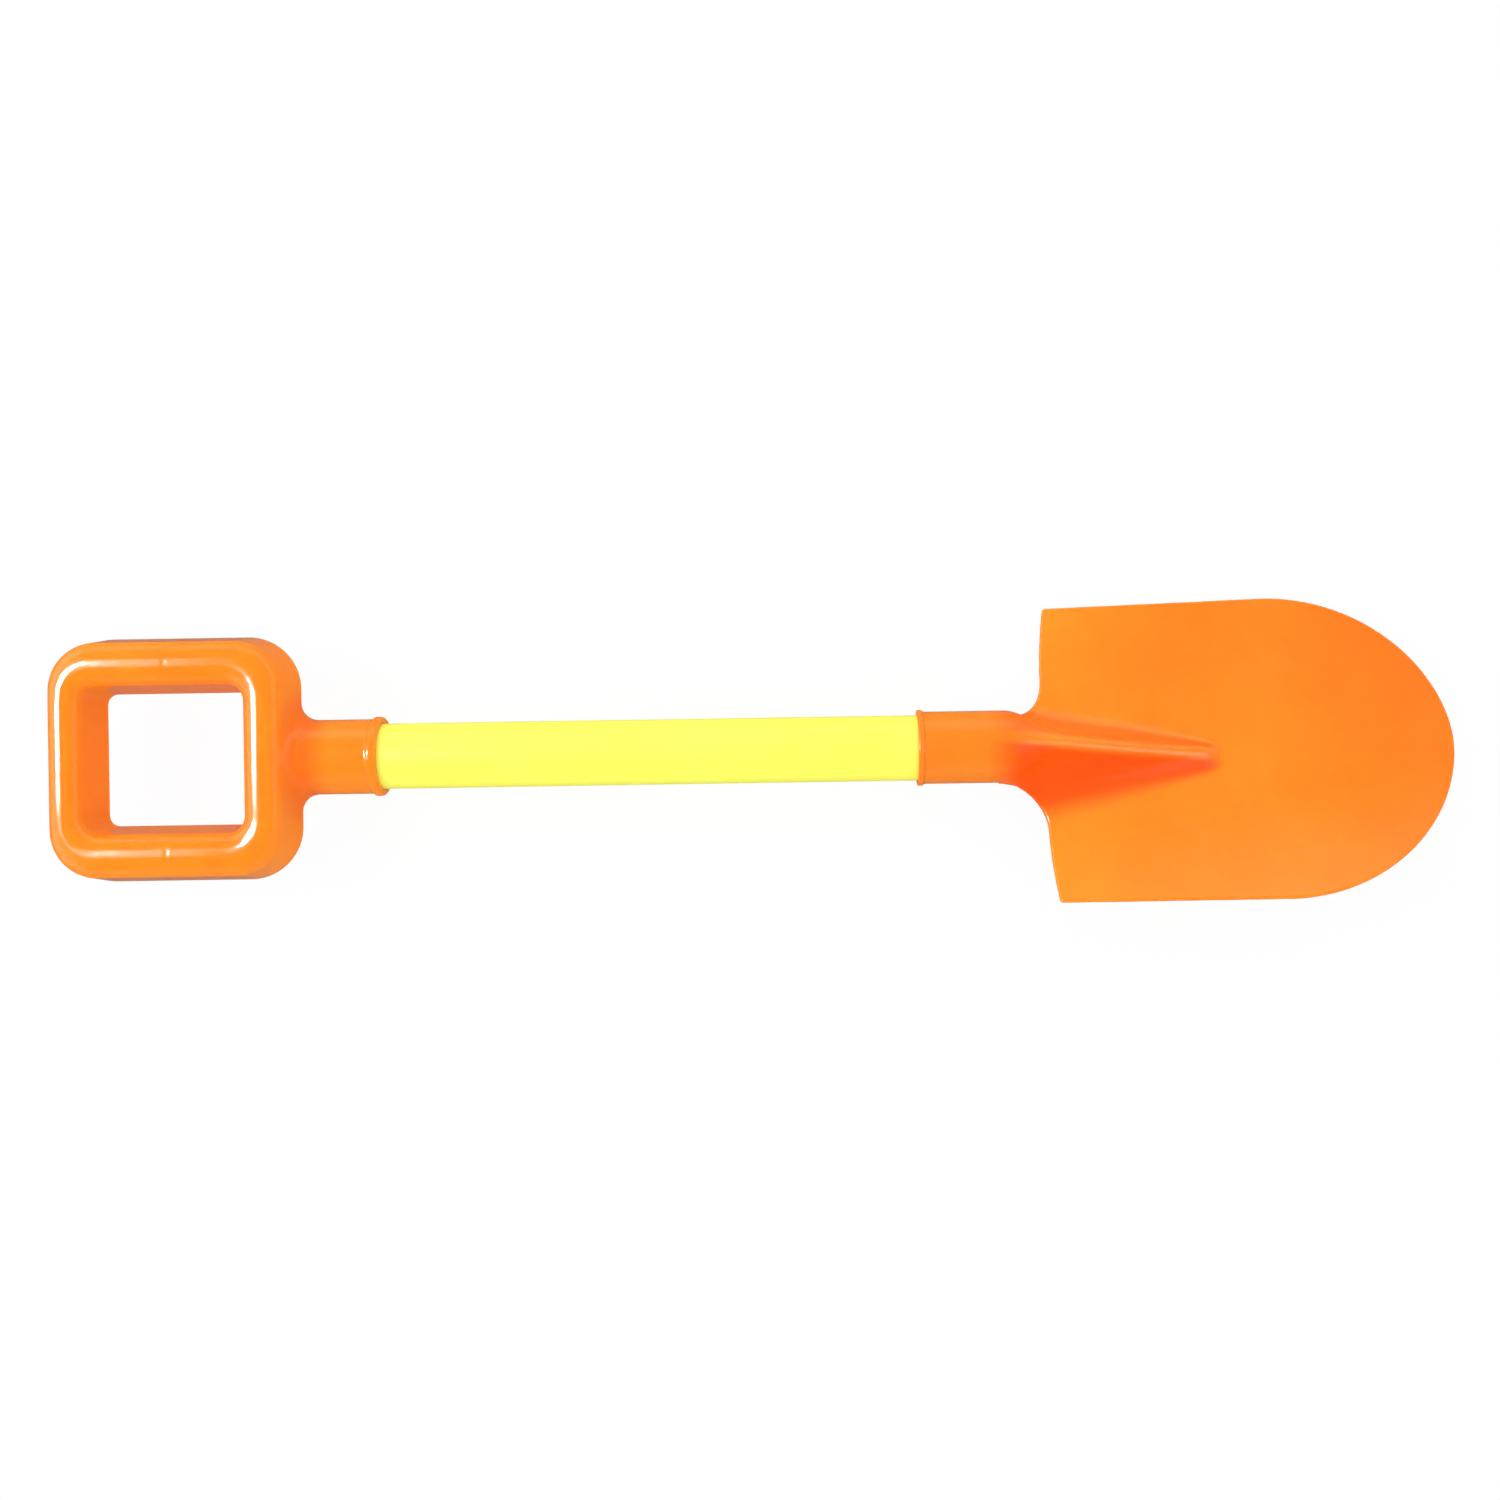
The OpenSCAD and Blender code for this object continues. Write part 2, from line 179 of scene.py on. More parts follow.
SHEET_X = RIDGE_X - SHEET_OVERLAP
RIDGE_END_X = RIDGE_X + RIDGE_LEN
RIDGE_H = RIDGE_R + RIM_DROP + DISH_TREAD
TREAD_X = RIDGE_X + TREAD_FILLET_R
CORNER_X = TREAD_X + TREAD_BOW
TIP_X = CORNER_X + BLADE_LEN
NOSE_X = TIP_X - NOSE_LEN
FILLET_Y = RIDGE_R + TREAD_FILLET_R

# Size of the cells in which the surfaces are found, and the empty space round each piece
CELL = 0.6
GRIP_MARGIN = (1.2, 1.1, 1.0)
BLADE_MARGIN = (0.9, 1.2, 1.5)
# points whose field is worked out together, to save memory
CHUNK = 400000
# distances over which slopes are taken
HEIGHT_STEP = 0.02
PULL_STEP = 0.01
NORMAL_STEP = 0.03
# a point's move is worked out with at least this slope squared, and is at most this part of a cell
LEAST_SLOPE_SQUARED = 0.05
LONGEST_MOVE = 0.35
EVEN_ROUNDS = 3
# keep a division and a power from meeting zero
TINY = 1e-9
LEAST_ACROSS = 1e-4


# Helpers of the distance fields, which are negative inside a solid

def rise(value, start, length):
    """From 0 at start to 1 after length, straight."""
    return np.clip((value - start) / length, 0, 1)


def smooth(share):
    """A share from 0 to 1, made to start and end softly."""
    return share * share * (3 - 2 * share)


def cut_round(one, other, r):
    """What both solids share, with the edge between them rounded to radius r."""
    past = np.hypot(np.maximum(r + one, 0), np.maximum(r + other, 0))
    return np.minimum(-r, np.maximum(one, other)) + past


def join_round(one, other, r):
    """Both solids together, with a fillet of radius r in the corner between them."""
    near = np.hypot(np.maximum(r - one, 0), np.maximum(r - other, 0))
    return np.maximum(r, np.minimum(one, other)) - near


def round_box(past_x, past_y, r):
    """Box with corners of radius r, for a point so far past its sides moved in by r."""
    outside = np.hypot(np.maximum(past_x, 0), np.maximum(past_y, 0))
    return outside + np.minimum(np.maximum(past_x, past_y), 0) - r


def ellipse(share_a, share_b, half_a, half_b):
    """Nearly the distance to an ellipse, for a point given in shares of its half axes."""
    reach = np.hypot(share_a, share_b) + TINY
    return (reach - 1) * reach / (np.hypot(share_a / half_a, share_b / half_b) + TINY)


def ring_bead(x, rho, x0, x1, outer_r, edge_r):
    """Disc round the tube's axis from x0 to x1, with its rim rounded to edge_r."""
    past_x = np.abs(x - (x0 + x1) / 2) - ((x1 - x0) / 2 - edge_r)
    return round_box(past_x, rho - (outer_r - edge_r), edge_r)


def plan_distance(x, y, x0, length, width, corner_r):
    """Rectangle seen from the front, from x0 on and centred on the tube."""
    past_x = np.abs(x - (x0 + length / 2)) - (length / 2 - corner_r)
    past_y = np.abs(y) - (width / 2 - corner_r)
    return round_box(past_x, past_y, corner_r)


# Grip

def shoulder(inward, z, flat):
    """Wall that leans in and its rounded shoulder, with inward counted from the wall's foot.

    The crest is a little crowned: the shoulder is drawn out by flat, half the crest's width."""
    across = inward - (WALL_LEAN + SHOULDER_R)
    up = z - CREASE_H
    sin_a, cos_a = math.sin(LEAN_ANGLE), math.cos(LEAN_ANGLE)
    wall = -across * cos_a + up * sin_a - SHOULDER_R
    wide = SHOULDER_R + flat
    round_top = ellipse((across - flat) / wide, up / SHOULDER_R, wide, SHOULDER_R)
    round_top = np.where(across > flat, up - SHOULDER_R, round_top)
    return np.where(-across * sin_a - up * cos_a > 0, wall, round_top)


def crest_flat(x, y):
    """Half the crest's flat width: nearly none on the grip bar, most on the side bars."""
    side = rise(np.abs(y), OPENING_W / 2 - SIDE_BLEND_IN, SIDE_BLEND_LEN) ** 2
    neck = rise(x, OPENING_X0 + OPENING_LEN / 2, NECK_BLEND_LEN)
    plain = BAR_FLAT + NECK_FLAT * neck
    return plain + (SIDE_FLAT - plain) * side


def sink_marks(x, y, z, inward):
    """How deep the crest is dented over the ribs."""
    front = rise(z, CREASE_H, MARK_FADE_H)
    crest = rise(inward, WALL_LEAN + SHOULDER_R - MARK_FADE_W, MARK_FADE_W)
    on_side = np.exp(-((x - SIDE_RIB_X) / MARK_W) ** 2) * (np.abs(y) > OPENING_W / 2)
    on_bar = np.exp(-(y / MARK_W) ** 2) * (x < OPENING_X0 + WALL_LEAN)
    return MARK_DEPTH * front * crest * (on_side + on_bar)


def grip_ribs(x, y, z, bars):
    """Ribs in the hollow back: one on the grip bar and one on each side bar."""
    mid_wall = bars + GRIP_WALL / 2
    bar_rib = np.maximum(np.abs(y) - RIB_T / 2, x - OPENING_X0 - GRIP_WALL)
    side_rib = np.maximum(np.abs(x - SIDE_RIB_X) - RIB_T / 2, OPENING_W / 2 - np.abs(y))
    ribs = np.maximum(np.minimum(bar_rib, side_rib), mid_wall)
    return cut_round(ribs, -z, RIB_EDGE_R)


def grip_field(points):
    """The hollow loop with its ribs, and the socket with its bead and bore."""
    x, y, z = points[..., 0], points[..., 1], points[..., 2]
    rho = np.hypot(y, z)
    from_rim = -plan_distance(x, y, LOOP_X0, LOOP_LEN, LOOP_W, LOOP_R)
    from_opening = plan_distance(x, y, OPENING_X0, OPENING_LEN, OPENING_W, OPENING_R)
    flat = crest_flat(x, y)
    bars = np.maximum(shoulder(from_rim, z, flat), shoulder(from_opening, z, flat))
    channel = bars + GRIP_WALL
    bars = bars + sink_marks(x, y, z, np.minimum(from_rim, from_opening))

    socket_ends = np.maximum(GRIP_SOCKET_X - x, x - GRIP_MOUTH_X)
    socket = cut_round(rho - GRIP_SOCKET_R, socket_ends, GRIP_SOCKET_EDGE_R)
    body = join_round(bars, socket, GRIP_FILLET_R)
    shell = cut_round(cut_round(body, -z, LIP_R), -channel, LIP_R)
    shell = join_round(shell, grip_ribs(x, y, z, bars), RIB_FOOT_R)
    shell = np.minimum(shell, socket)
    bead_x = GRIP_MOUTH_X - GRIP_BEAD_W
    bead = ring_bead(x, rho, bead_x, GRIP_MOUTH_X, GRIP_BEAD_R, GRIP_BEAD_EDGE_R)
    shell = join_round(shell, bead, GRIP_BEAD_FOOT_R)
    bore = np.maximum(rho - BORE_R, GRIP_MOUTH_X - GRIP_SEAT - x)
    return cut_round(shell, -bore, LIP_R)


# Blade

def half_width(x):
    """Half the blade's width at x, from the tread's corners to the tip."""
    nose = BLADE_W / 2 * np.clip(1 - ((x - NOSE_X) / NOSE_LEN) ** 2, 0, None) ** NOSE_POINT
    grow = np.clip(x - CORNER_X, 0, None) / (NOSE_X - CORNER_X)
    return np.where(x > NOSE_X, nose, TREAD_W / 2 + (BLADE_W - TREAD_W) / 2 * grow)


def dish_height(x, y):
    """Height of the dished face without its ridge."""
    share = (x - CORNER_X) / BLADE_LEN
    rim = -RIM_DROP + RIM_RISE * share
    depth = DISH_TREAD + DISH_GAIN * share
    along = np.clip(x - NOSE_X, 0, None) / NOSE_LEN
    across = y / np.where(x > NOSE_X, BLADE_W / 2, half_width(x))
    return rim - depth * (1 - np.minimum(DISH_LIMIT, along ** 2 + across ** 2))


def ridge_height(x, y, skin):
    """Height of the ridge over the dish: a round crest between two hollow feet.

    With skin it is the ridge's back face, whose radii differ from the front's by the skin."""
    share = np.clip(x - RIDGE_X, 0, None) / RIDGE_LEN
    ease = RIDGE_EASE
    fallen = (np.sqrt(share * share + ease * ease) - ease) / (math.sqrt(1 + ease * ease) - ease)
    left = np.clip(1 - fallen, 0, None)
    end = rise(x, RIDGE_END_X - RIDGE_END_LEN, RIDGE_END_LEN)
    height = RIDGE_END_H + (RIDGE_H - RIDGE_END_H) * left ** RIDGE_FALL
    height = height * np.sqrt(1 - end * end)

    blend = smooth(rise(x, RIDGE_X, RIDGE_ROUND_LEN))
    crest_r = np.maximum(RIDGE_R + (RIDGE_CREST_R - RIDGE_R) * blend - skin, RIDGE_LEAST_R)
    own_r = np.where(y < 0, LOW_FOOT_R, RIDGE_FOOT_R)
    taper = np.where(y < 0, LOW_FOOT_TAPER, FOOT_TAPER)
    foot_r = TREAD_FILLET_R + (own_r - TREAD_FILLET_R) * blend
    foot_r = foot_r * (1 - taper * np.minimum(share, 1) ** 2) + skin

    foot_y = np.sqrt(np.clip(height * (2 * (crest_r + foot_r) - height), 0, None))
    turn_y = foot_y * crest_r / (crest_r + foot_r)
    aside = np.abs(y)
    crest = height - crest_r + np.sqrt(np.clip(crest_r * crest_r - aside * aside, 0, None))
    foot = foot_r - np.sqrt(np.clip(foot_r * foot_r - (foot_y - aside) ** 2, 0, None))
    return np.where(aside <= turn_y, crest, np.where(aside < foot_y, foot, 0))


def front_height(x, y):
    return dish_height(x, y) + ridge_height(x, y, 0)


def back_height(x, y):
    return dish_height(x, y) - SHEET_T + ridge_height(x, y, SHEET_T)


def steepness(height, x, y):
    """A difference in height divided by this is nearly the distance from the surface."""
    reach = 2 * HEIGHT_STEP
    slope_x = (height(x + HEIGHT_STEP, y) - height(x - HEIGHT_STEP, y)) / reach
    slope_y = (height(x, y + HEIGHT_STEP) - height(x, y - HEIGHT_STEP)) / reach
    return np.sqrt(1 + slope_x * slope_x + slope_y * slope_y)


def blade_plan(x, y):
    """Distance from the blade's outline, seen from the front."""
    aside = np.abs(y)
    side = aside - half_width(np.minimum(x, NOSE_X))
    along = np.clip(x - NOSE_X, 0, None) / NOSE_LEN
    across = np.maximum(aside / (BLADE_W / 2), LEAST_ACROSS) ** (0.5 / NOSE_POINT)
    rim = np.where(x > NOSE_X, ellipse(along, across, NOSE_LEN, BLADE_W / 2), side)
    reach = np.clip((aside - FILLET_Y) / (TREAD_W / 2 - FILLET_Y), 0, None)
    tread = TREAD_X + TREAD_BOW * reach ** 2 - x
    fillet = TREAD_FILLET_R - np.hypot(x - RIDGE_X, aside - FILLET_Y)
    edge = np.where(aside > FILLET_Y, tread, np.where(x > RIDGE_X, fillet, aside - RIDGE_R))
    return cut_round(rim, np.maximum(edge, SHEET_X - x), TREAD_CORNER_R)


def blade_field(points):
    """The dished sheet with its hollow ridge, and the socket with its bead and bore."""
    x, y, z = points[..., 0], points[..., 1], points[..., 2]
    rho = np.hypot(y, z)
    front = front_height(x, y)
    top = (z - front) / steepness(front_height, x, y)
    under = (back_height(x, y) - z) / steepness(back_height, x, y)
    sheet = cut_round(np.maximum(top, under), blade_plan(x, y), SHEET_EDGE_R)

    # the socket's closed end is round and runs smoothly into the sheet's underside
    end = np.clip(x - RIDGE_X, 0, None) / SOCKET_END_LEN
    round_end = (np.hypot(end, rho / BLADE_SOCKET_R) - 1) * BLADE_SOCKET_R * ROUND_END_SCALE
    socket = np.where(x > RIDGE_X, round_end, rho - BLADE_SOCKET_R)
    socket = np.maximum(socket, BLADE_MOUTH_X - x)
    below = np.clip((front - z) / JOIN_DEPTH, 0, 1)
    join_r = JOIN_R * below * rise(x, SHEET_X, JOIN_LEN) + LEAST_JOIN_R
    joined = join_round(sheet, socket + SOCKET_SINK * (1 - below), join_r)
    body = np.minimum(np.where(x > SHEET_X, joined, socket), socket)

    bead_end_x = BLADE_MOUTH_X + BLADE_BEAD_W
    bead = ring_bead(x, rho, BLADE_MOUTH_X, bead_end_x, BLADE_BEAD_R, BLADE_BEAD_EDGE_R)
    bore = np.maximum(rho - BORE_R, x - BLADE_MOUTH_X - BLADE_SEAT)
    return cut_round(np.minimum(body, bead), -bore, BLADE_LIP_R)


# Painted shade in the plastic's colour, from 0 to 1

# widths of the painted shade above and below the ridge, from DEEP_START before it to its end
DEEP_START = 4.0
DEEP_UP_W, DEEP_UP_END_W = 19.0, 3.0
DEEP_DOWN_W, DEEP_DOWN_END_W = 26.0, 6.0
# how strong the painted shade is there, and where it fades out, in shares of those widths
DEEP_UP, DEEP_DOWN = 0.48, 0.85
DEEP_EDGE, DEEP_EDGE_W = 1.15, 0.5
# it fades in before the ridge's start and out past its end
DEEP_IN, DEEP_IN_LEN = 6.0, 10.0
DEEP_OUT, DEEP_OUT_LEN = 2.0, 5.0
# the widths are worked out no further along than this
LAST_SHARE = 1.1
# the crest gets less painted shade, a painted highlight on a strip whose middle is a little off the tube's
# axis
PALE_Y, PALE_W, PALE_EDGE_W, PALE_SHARE = -0.6, 1.0, 1.5, 0.25
# painted shade on the rest of the blade: its socket, the flats, darker towards +Y, and the nose
SOCKET_DEEP, SOCKET_DEEP_LEN = 0.27, 12.0
FLAT_DEEP, FLAT_DEEP_LEN = 0.2, 35.0
SIDE_DEEP, SIDE_DEEP_W = 0.05, 40.0
NOSE_DEEP = 0.22
# painted shade round the root of the grip's socket: where it is, how far it fades, and how much less so
# off the axis
ROOT_DEEP, ROOT_X = 0.5, 2.0
ROOT_FADE_W, ROOT_EDGE = 6.0, 1.4
ROOT_FLATTEN = 0.8
# nothing nearer the axis than this share of the socket's radius gets painted shade
ROOT_INNER = 0.8


def ridge_painted_shade(x, y):
    """Painted shade beside the ridge, most on its lower side, and less of it on the crest as a painted
    highlight.
    """
    share = np.clip((x - RIDGE_X + DEEP_START) / (RIDGE_LEN + DEEP_START), 0, LAST_SHARE)
    up_w = DEEP_UP_W * (1 - share) + DEEP_UP_END_W * share
    down_w = DEEP_DOWN_W * (1 - share) + DEEP_DOWN_END_W * share
    aside = np.where(y > 0, y / up_w, -y / down_w)
    across = smooth(np.clip((DEEP_EDGE - aside) / DEEP_EDGE_W, 0, 1))
    comes_in = rise(x, RIDGE_X - DEEP_IN, DEEP_IN_LEN)
    goes_out = np.clip((RIDGE_END_X + DEEP_OUT - x) / DEEP_OUT_LEN, 0, 1)
    crest = PALE_SHARE + (1 - PALE_SHARE) * rise(np.abs(y - PALE_Y), PALE_W, PALE_EDGE_W)
    return across * comes_in * goes_out * np.where(y > 0, DEEP_UP, DEEP_DOWN) * crest


def blade_painted_shade(points):
    """Painted shade: most beside the ridge, and a little over the socket, the flats and the nose."""
    x, y = points[:, 0], points[:, 1]
    socket = np.clip((TREAD_X - x) / SOCKET_DEEP_LEN, 0, 1)
    flats = FLAT_DEEP + SIDE_DEEP * np.clip(y / SIDE_DEEP_W, -1, 1)
    flats = flats * rise(x, TREAD_X, FLAT_DEEP_LEN)
    plain = SOCKET_DEEP * socket + flats + NOSE_DEEP * rise(x, NOSE_X, NOSE_LEN)
    return plain + (1 - plain) * ridge_painted_shade(x, y)


def grip_painted_shade(points):
    """Painted shade in the hollow round the root of the grip's socket."""
    x, y, z = points[:, 0], points[:, 1], points[:, 2]
    rho = np.hypot(y, z)
    away = np.hypot(x - NECK_WALL_X - ROOT_X, np.abs(rho - GRIP_SOCKET_R) * ROOT_FLATTEN)
    outside = rho > GRIP_SOCKET_R * ROOT_INNER
    return ROOT_DEEP * np.clip(ROOT_EDGE - away / ROOT_FADE_W, 0, 1) * outside


# Meshes from fields

def in_chunks(field, points):
    """The field at many points, a part of them at a time."""
    flat = points.reshape(-1, 3)
    parts = [field(flat[at:at + CHUNK]) for at in range(0, len(flat), CHUNK)]
    return np.concatenate(parts).reshape(points.shape[:-1])


def gradient(field, points, step):
    """The field's slope at each point."""
    slopes = np.empty_like(points)
    for axis in range(3):
        offset = np.zeros(3)
        offset[axis] = step
        change = in_chunks(field, points + offset) - in_chunks(field, points - offset)
        slopes[:, axis] = change / (2 * step)
    return slopes


def grid_distances(field, low, high):
    """The field at the corners of all cells between two corners of space."""
    xs, ys, zs = [np.arange(low[axis], high[axis] + CELL, CELL) for axis in range(3)]
    grid_y, grid_z = np.meshgrid(ys, zs, indexing="ij")
    layers = [field(np.stack([np.full_like(grid_y, x), grid_y, grid_z], -1)) for x in xs]
    return np.stack(layers)


def cell_points(distances):
    """A point in each cell that the surface passes, and that point's number for every cell.

    The point, in cells, is the mean of where the surface cuts the cell's edges."""
    inside = distances < 0
    cells = [corners - 1 for corners in distances.shape]
    total = np.zeros(cells + [3])
    count = np.zeros(cells)
    for axis in range(3):
        others = [other for other in range(3) if other != axis]
        for edge in ((0, 0), (0, 1), (1, 0), (1, 1)):
            start = [0, 0, 0]
            start[others[0]], start[others[1]] = edge
            end = list(start)
            end[axis] = 1
            near = tuple(slice(start[k], start[k] + cells[k]) for k in range(3))
            far = tuple(slice(end[k], end[k] + cells[k]) for k in range(3))
            cut = inside[near] != inside[far]
            share = distances[near] / np.where(cut, distances[near] - distances[far], 1)
            count += cut
            for k in range(3):
                total[..., k] += cut * (share if k == axis else start[k])
    used = count > 0
    number = np.full(cells, -1)
    number[used] = np.arange(used.sum())
    return np.argwhere(used) + total[used] / count[used][:, None], number


def surface_quads(inside, number):
    """A quad round each grid edge that the surface cuts, through the points of four cells."""
    cells = number.shape
    quads = []
    for axis in range(3):
        second, third = (axis + 1) % 3, (axis + 2) % 3
        near = [slice(1, size) for size in cells]
        far = [slice(1, size) for size in cells]
        near[axis], far[axis] = slice(0, cells[axis]), slice(1, cells[axis] + 1)
        starts, ends = inside[tuple(near)], inside[tuple(far)]
        for outward, cut in ((True, starts & ~ends), (False, ~starts & ends)):
            edge = np.argwhere(cut)
            ring = []
            for step_second, step_third in ((0, 0), (1, 0), (1, 1), (0, 1)):
                cell = edge.copy()
                cell[:, second] += step_second
                cell[:, third] += step_third
                ring.append(number[tuple(cell.T)])
            ring = np.stack(ring, 1)
            quads.append(ring if outward else ring[:, ::-1])
    return np.concatenate(quads)


def pull(field, points, times):
    """Moves points on to the surface, along the field's slope."""
    for _ in range(times):
        slopes = gradient(field, points, PULL_STEP)
        squared = np.maximum((slopes * slopes).sum(1), LEAST_SLOPE_SQUARED)
        move = in_chunks(field, points)[:, None] * slopes / squared[:, None]
        length = np.linalg.norm(move, axis=1, keepdims=True)
        points = points - move * np.minimum(1, LONGEST_MOVE * CELL / np.maximum(length, TINY))
    return points


def even_out(field, points, quads):
    """Spreads points over the surface: each goes half way to the mean of its quads' middles."""
    points = pull(field, points, 2)
    for _ in range(EVEN_ROUNDS):
        middles = points[quads].mean(1)
        total = np.zeros_like(points)
        count = np.zeros(len(points))
        for corner in range(4):
            np.add.at(total, quads[:, corner], middles)
            np.add.at(count, quads[:, corner], 1)
        points = pull(field, points * 0.5 + 0.5 * total / count[:, None], 1)
    return pull(field, points, 2)


def field_mesh(name, field, depth, low, high, turn=0.0):
    """Closed mesh on a field's zero surface, with the field's own normals.

    depth gives the painted shade at a point, and turn is the piece's angle round the tube."""
    distances = grid_distances(field, low, high)
    in_cells, number = cell_points(distances)
    quads = surface_quads(distances < 0, number)
    points = even_out(field, np.array(low) + CELL * in_cells, quads)
    normals = gradient(field, points, NORMAL_STEP)
    normals /= np.maximum(np.linalg.norm(normals, axis=1, keepdims=True), TINY)
    painted_shade = depth(points)
    sin_t, cos_t = math.sin(turn), math.cos(turn)
    spin = np.array([[1, 0, 0], [0, cos_t, -sin_t], [0, sin_t, cos_t]])
    points, normals = points @ spin.T, normals @ spin.T

    mesh = bpy.data.meshes.new(name)
    mesh.from_pydata((points * MM).tolist(), [], quads.tolist())
    mesh.validate()
    mesh.polygons.foreach_set("use_smooth", [True] * len(mesh.polygons))
    mesh.normals_split_custom_set_from_vertices(normals.tolist())
    mesh.update()
    # the painted shade is kept on the mesh's points, for the material to darken its colour by
    layer = mesh.attributes.new("painted_shade", "FLOAT", "POINT")
    layer.data.foreach_set("value", painted_shade)
    obj = bpy.data.objects.new(name, mesh)
    bpy.context.scene.collection.objects.link(obj)
    return obj


# Nodes

def empty_tree(owner):
    """The node tree of a material or world, with nothing in it."""
    owner.use_nodes = True
    owner.node_tree.nodes.clear()
    return owner.node_tree


def node(tree, kind, **settings):
    """New node, with each setting put on its input of that name or on the node itself."""
    made = tree.nodes.new(kind)
    for key, value in settings.items():
        if key in made.inputs:
            made.inputs[key].default_value = value
        else:
            setattr(made, key, value)
    return made


def calculate(tree, operation, *values):
    """Math node on sockets and numbers."""
    made = node(tree, "ShaderNodeMath", operation=operation)
    for socket, value in zip(made.inputs, values):
        if isinstance(value, float):
            socket.default_value = value
        else:
            tree.links.new(value, socket)
    return made.outputs[0]


def map_range(tree, value, source, target, kind="LINEAR"):
    """Takes a socket's value from one range, a pair of ends, to another."""
    made = node(tree, "ShaderNodeMapRange", interpolation_type=kind)
    made.inputs["From Min"].default_value, made.inputs["From Max"].default_value = source
    made.inputs["To Min"].default_value, made.inputs["To Max"].default_value = target
    tree.links.new(value, made.inputs["Value"])
    return made.outputs["Result"]


def noise(tree, vector, scale, detail, roughness):
    made = node(tree, "ShaderNodeTexNoise", Scale=scale, Detail=detail, Roughness=roughness)
    tree.links.new(vector, made.inputs["Vector"])
    return made.outputs["Fac"]


def bump(tree, height, strength, distance, under=None):
    """Bump of a height in metres, on top of another bump's normal where there is one."""
    made = node(tree, "ShaderNodeBump", Strength=strength, Distance=distance)
    tree.links.new(height, made.inputs["Height"])
    if under is not None:
        tree.links.new(under, made.inputs["Normal"])
    return made.outputs["Normal"]


def mix_shaders(tree, share, one, other):
    made = node(tree, "ShaderNodeMixShader")
    tree.links.new(share, made.inputs["Fac"])
    tree.links.new(one, made.inputs[1])
    tree.links.new(other, made.inputs[2])
    return made.outputs["Shader"]


# Materials

# a noise has a scale, a detail and a roughness, and a bump a strength and a height in metres
MOTTLE_NOISE = (45.0, 3.0, 0.55)
MOTTLE_STOPS = (0.3, 0.7)
WAVE_NOISE = (110.0, 1.5, 0.4)
WAVE_STRENGTH = 1.0
GRAIN_NOISE = (1400.0, 2.0, 0.5)
GRAIN_BUMP = (0.35, 0.00002)
LINE_NOISE = (1.0, 3.0, 0.6)
LINE_BUMP = (0.5, 0.00003)
# rubbed places: the roughness varies by this much
RUB_NOISE = (220.0, 4.0, 0.6)
RUB_LESS, RUB_MORE = 0.04, 0.05
PLASTIC_IOR = 1.49
# the specular level falls over this range of painted shade
DULL_RANGE = (0.5, 0.8)
DULL_LEVELS = (0.5, 0.15)


def mottled(tree, place, dark, light):
    """Colour that drifts a little between two, as moulded plastic's does."""
    ramp = node(tree, "ShaderNodeValToRGB")
    for stop, position, colour in zip(ramp.color_ramp.elements, MOTTLE_STOPS, (dark, light)):
        stop.position = position
        stop.color = (*colour, 1)
    tree.links.new(noise(tree, place, *MOTTLE_NOISE), ramp.inputs["Fac"])
    return ramp.outputs["Color"]


def with_painted_shade(tree, colour, deep, bsdf):
    """Painted shade: a darker colour where the mesh's points say so, and less shine where it is darkest.
    """
    painted_shade = node(tree, "ShaderNodeAttribute", attribute_name="painted_shade").outputs["Fac"]
    blend = node(tree, "ShaderNodeMix", data_type="RGBA")
    tree.links.new(painted_shade, blend.inputs["Factor"])
    tree.links.new(colour, blend.inputs["A"])
    blend.inputs["B"].default_value = (*deep, 1)
    shine = map_range(tree, painted_shade, DULL_RANGE, DULL_LEVELS)
    tree.links.new(shine, bsdf.inputs["Specular IOR Level"])
    return blend.outputs["Result"]


def relief(tree, place, wave, streaks):
    """Slight waves and a fine grain, and drawing lines where streaks gives their scale."""
    low = bump(tree, noise(tree, place, *WAVE_NOISE), WAVE_STRENGTH, wave)
    fine = bump(tree, noise(tree, place, *GRAIN_NOISE), *GRAIN_BUMP, low)
    if streaks is None:
        return fine
    stretch = node(tree, "ShaderNodeMapping")
    stretch.inputs["Scale"].default_value = streaks
    tree.links.new(place, stretch.inputs["Vector"])
    lines = noise(tree, stretch.outputs["Vector"], *LINE_NOISE)
    return bump(tree, lines, *LINE_BUMP, fine)


def plastic(name, dark, light, roughness, scatter, wave, deep=None, streaks=None):
    """Glossy translucent plastic.

    scatter is the subsurface weight, radius and scale, and wave the height of the slight waves."""
    mat = bpy.data.materials.new(name)
    tree = empty_tree(mat)
    bsdf = node(tree, "ShaderNodeBsdfPrincipled")
    place = node(tree, "ShaderNodeTexCoord").outputs["Object"]
    colour = mottled(tree, place, dark, light)
    # painted shade: the colour goes towards the darker colour given here where the mesh's points ask for
    # it
    if deep:
        colour = with_painted_shade(tree, colour, deep, bsdf)
    tree.links.new(colour, bsdf.inputs["Base Color"])
    rub = noise(tree, place, *RUB_NOISE)
    rough = map_range(tree, rub, (0.0, 1.0), (roughness - RUB_LESS, roughness + RUB_MORE))
    tree.links.new(rough, bsdf.inputs["Roughness"])
    bsdf.inputs["IOR"].default_value = PLASTIC_IOR
    for key, value in zip(("Weight", "Radius", "Scale"), scatter):
        bsdf.inputs["Subsurface " + key].default_value = value
    tree.links.new(relief(tree, place, wave, streaks), bsdf.inputs["Normal"])
    out = node(tree, "ShaderNodeOutputMaterial")
    tree.links.new(bsdf.outputs["BSDF"], out.inputs["Surface"])
    return mat


ORANGE_SCATTER = (0.9, (1.0, 0.35, 0.12), 0.0015)
YELLOW_SCATTER = (0.4, (1.0, 0.8, 0.2), 0.004)
MOULDED_WAVE, DRAWN_WAVE = 0.00004, 0.00003
# close across the tube and long along X
DRAWING_LINES = (6.0, 900.0, 900.0)


